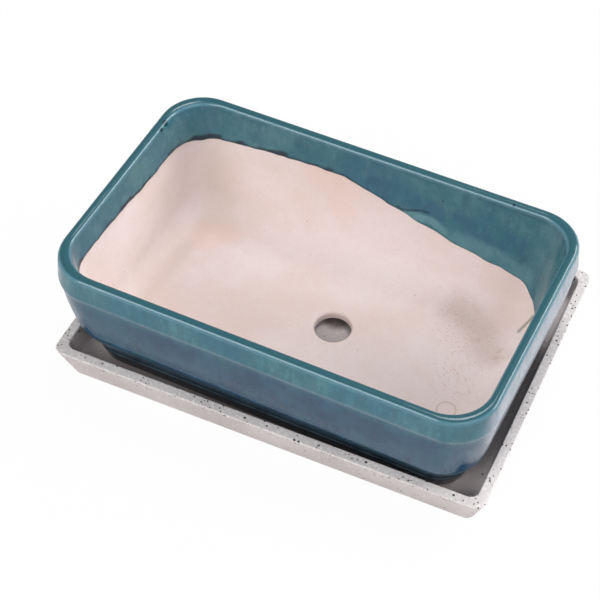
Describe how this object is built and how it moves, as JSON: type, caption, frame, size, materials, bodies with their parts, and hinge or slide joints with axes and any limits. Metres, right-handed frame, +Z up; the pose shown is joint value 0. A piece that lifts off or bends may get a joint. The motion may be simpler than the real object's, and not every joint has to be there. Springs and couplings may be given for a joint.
{
  "type": "planter with drip tray",
  "caption": "Rectangular glazed planter with a rolled rim and collar, drained through its floor, standing loose in a cast drip tray.",
  "frame": {"origin": "on the surface that the tray stands on, under the middle of the whole object's box", "axes": "+X along the long side to the right, +Y to the back, +Z up out of the pot's mouth"},
  "size_m": [0.2446, 0.1736, 0.0828],
  "materials": {
    "cast_stone": "matt speckled terrazzo",
    "fired_clay": "matt unglazed",
    "glaze": "glossy"
  },
  "bodies": {
    "tray": {"drip_tray": "cast_stone"},
    "pot": {"clay_pot": "fired_clay", "glaze_coat": "glaze"}
  },
  "joints": [
    {"name": "lift", "type": "slide", "parent": "tray", "child": "pot", "axis": [0, 0, 1], "range_m": [0, 0.08]}
  ]
}
